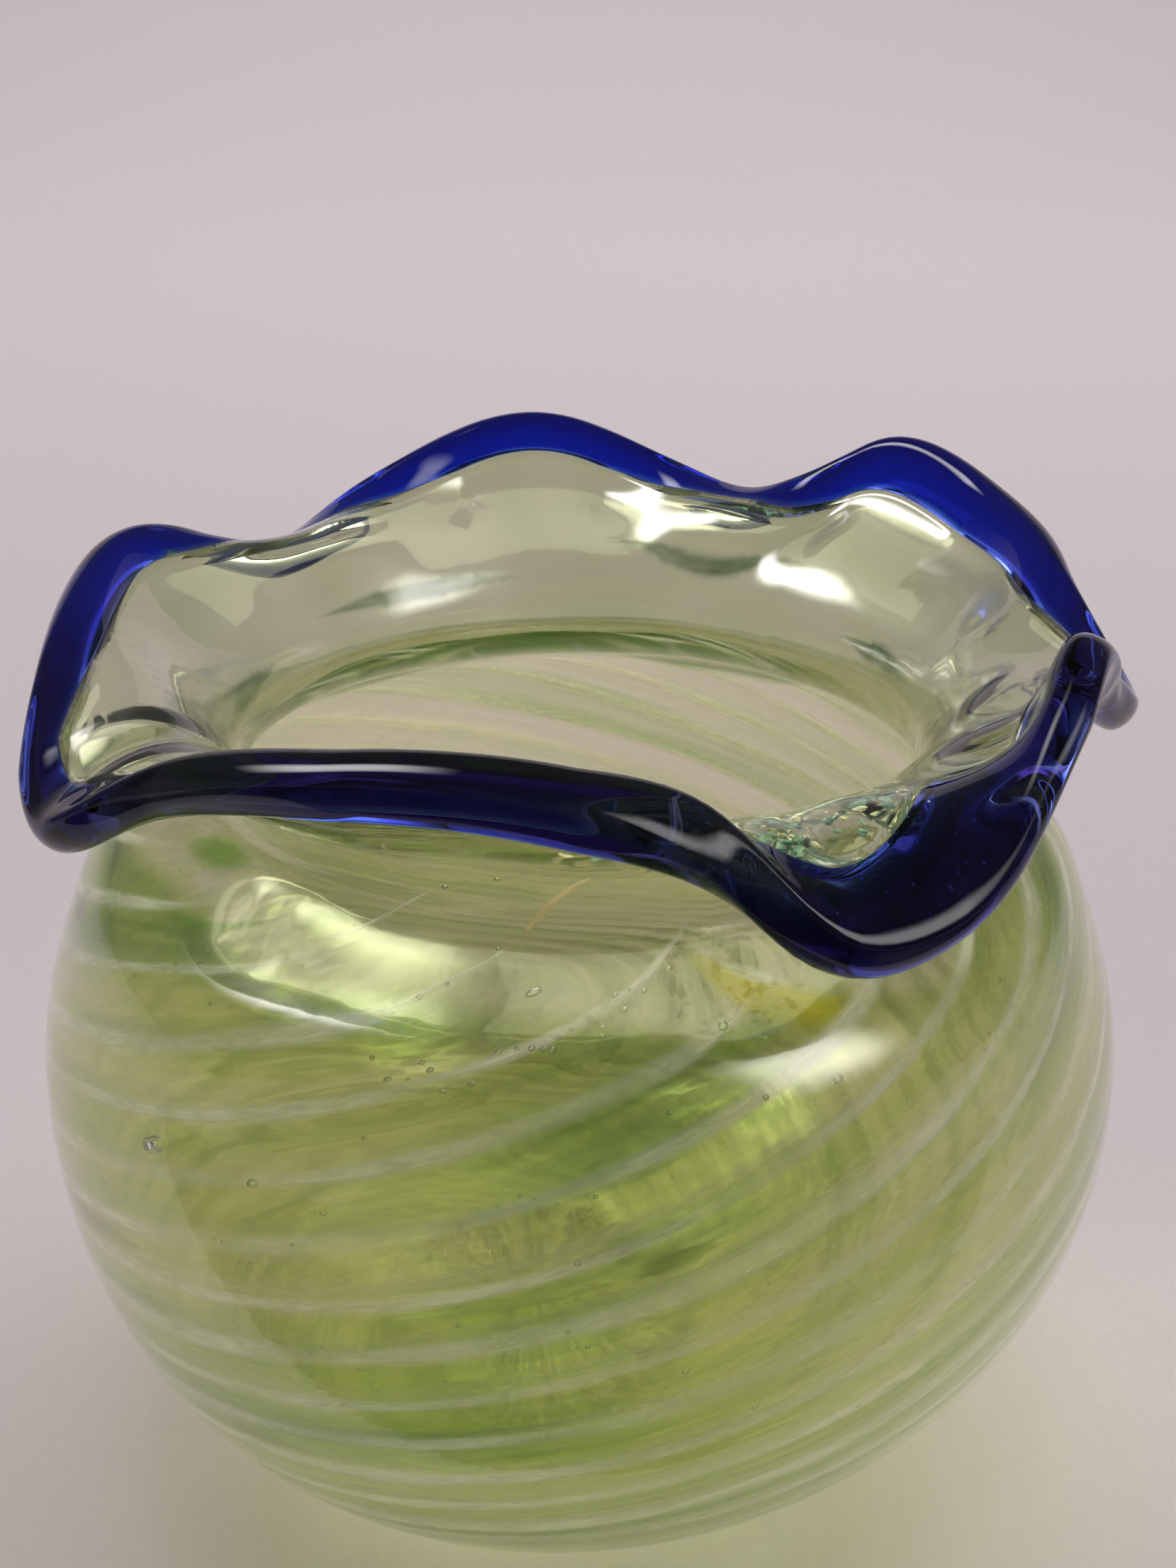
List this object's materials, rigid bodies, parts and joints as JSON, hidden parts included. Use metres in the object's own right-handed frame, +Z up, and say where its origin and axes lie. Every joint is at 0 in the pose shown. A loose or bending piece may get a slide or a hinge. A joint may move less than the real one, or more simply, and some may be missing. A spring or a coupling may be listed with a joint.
{
  "type": "art glass bowl",
  "caption": "Hand-blown globular glass bowl with a waisted neck, a ruffled flared mouth, a wrapped lip and swirled threads cased in the wall.",
  "frame": {"origin": "centre of the flat underside that the bowl rests on", "axes": "+Z up, -Y to the bowl's front, +X to the bowl's right seen from the front"},
  "size_m": [0.1098, 0.1098, 0.0986],
  "materials": {
    "casing_glass": "clear glass with a faint yellow-green cast",
    "overlay_glass": "mottled yellow-green glass",
    "gather_glass": "clear glass",
    "cobalt_glass": "deep cobalt glass, fire polished",
    "white_glass": "translucent opal white glass",
    "green_glass": "dark green glass"
  },
  "bodies": {
    "root": {"outer_casing": "casing_glass", "colour_overlay": "overlay_glass", "inner_gather": "gather_glass", "lip_wrap": "cobalt_glass", "white_thread_01": "white_glass", "white_thread_02": "white_glass", "white_thread_03": "white_glass", "white_thread_04": "white_glass", "white_thread_05": "white_glass", "white_thread_06": "white_glass", "white_thread_07": "white_glass", "white_thread_08": "white_glass", "white_thread_09": "white_glass", "white_thread_10": "white_glass", "white_thread_11": "white_glass", "white_thread_12": "white_glass", "white_thread_13": "white_glass", "white_thread_14": "white_glass", "white_thread_15": "white_glass", "white_thread_16": "white_glass", "white_thread_17": "white_glass", "white_thread_18": "white_glass", "white_thread_19": "white_glass", "white_thread_20": "white_glass", "green_streak_01": "green_glass", "green_streak_02": "green_glass", "green_streak_03": "green_glass", "green_streak_04": "green_glass", "green_streak_05": "green_glass", "green_streak_06": "green_glass"}
  },
  "joints": []
}
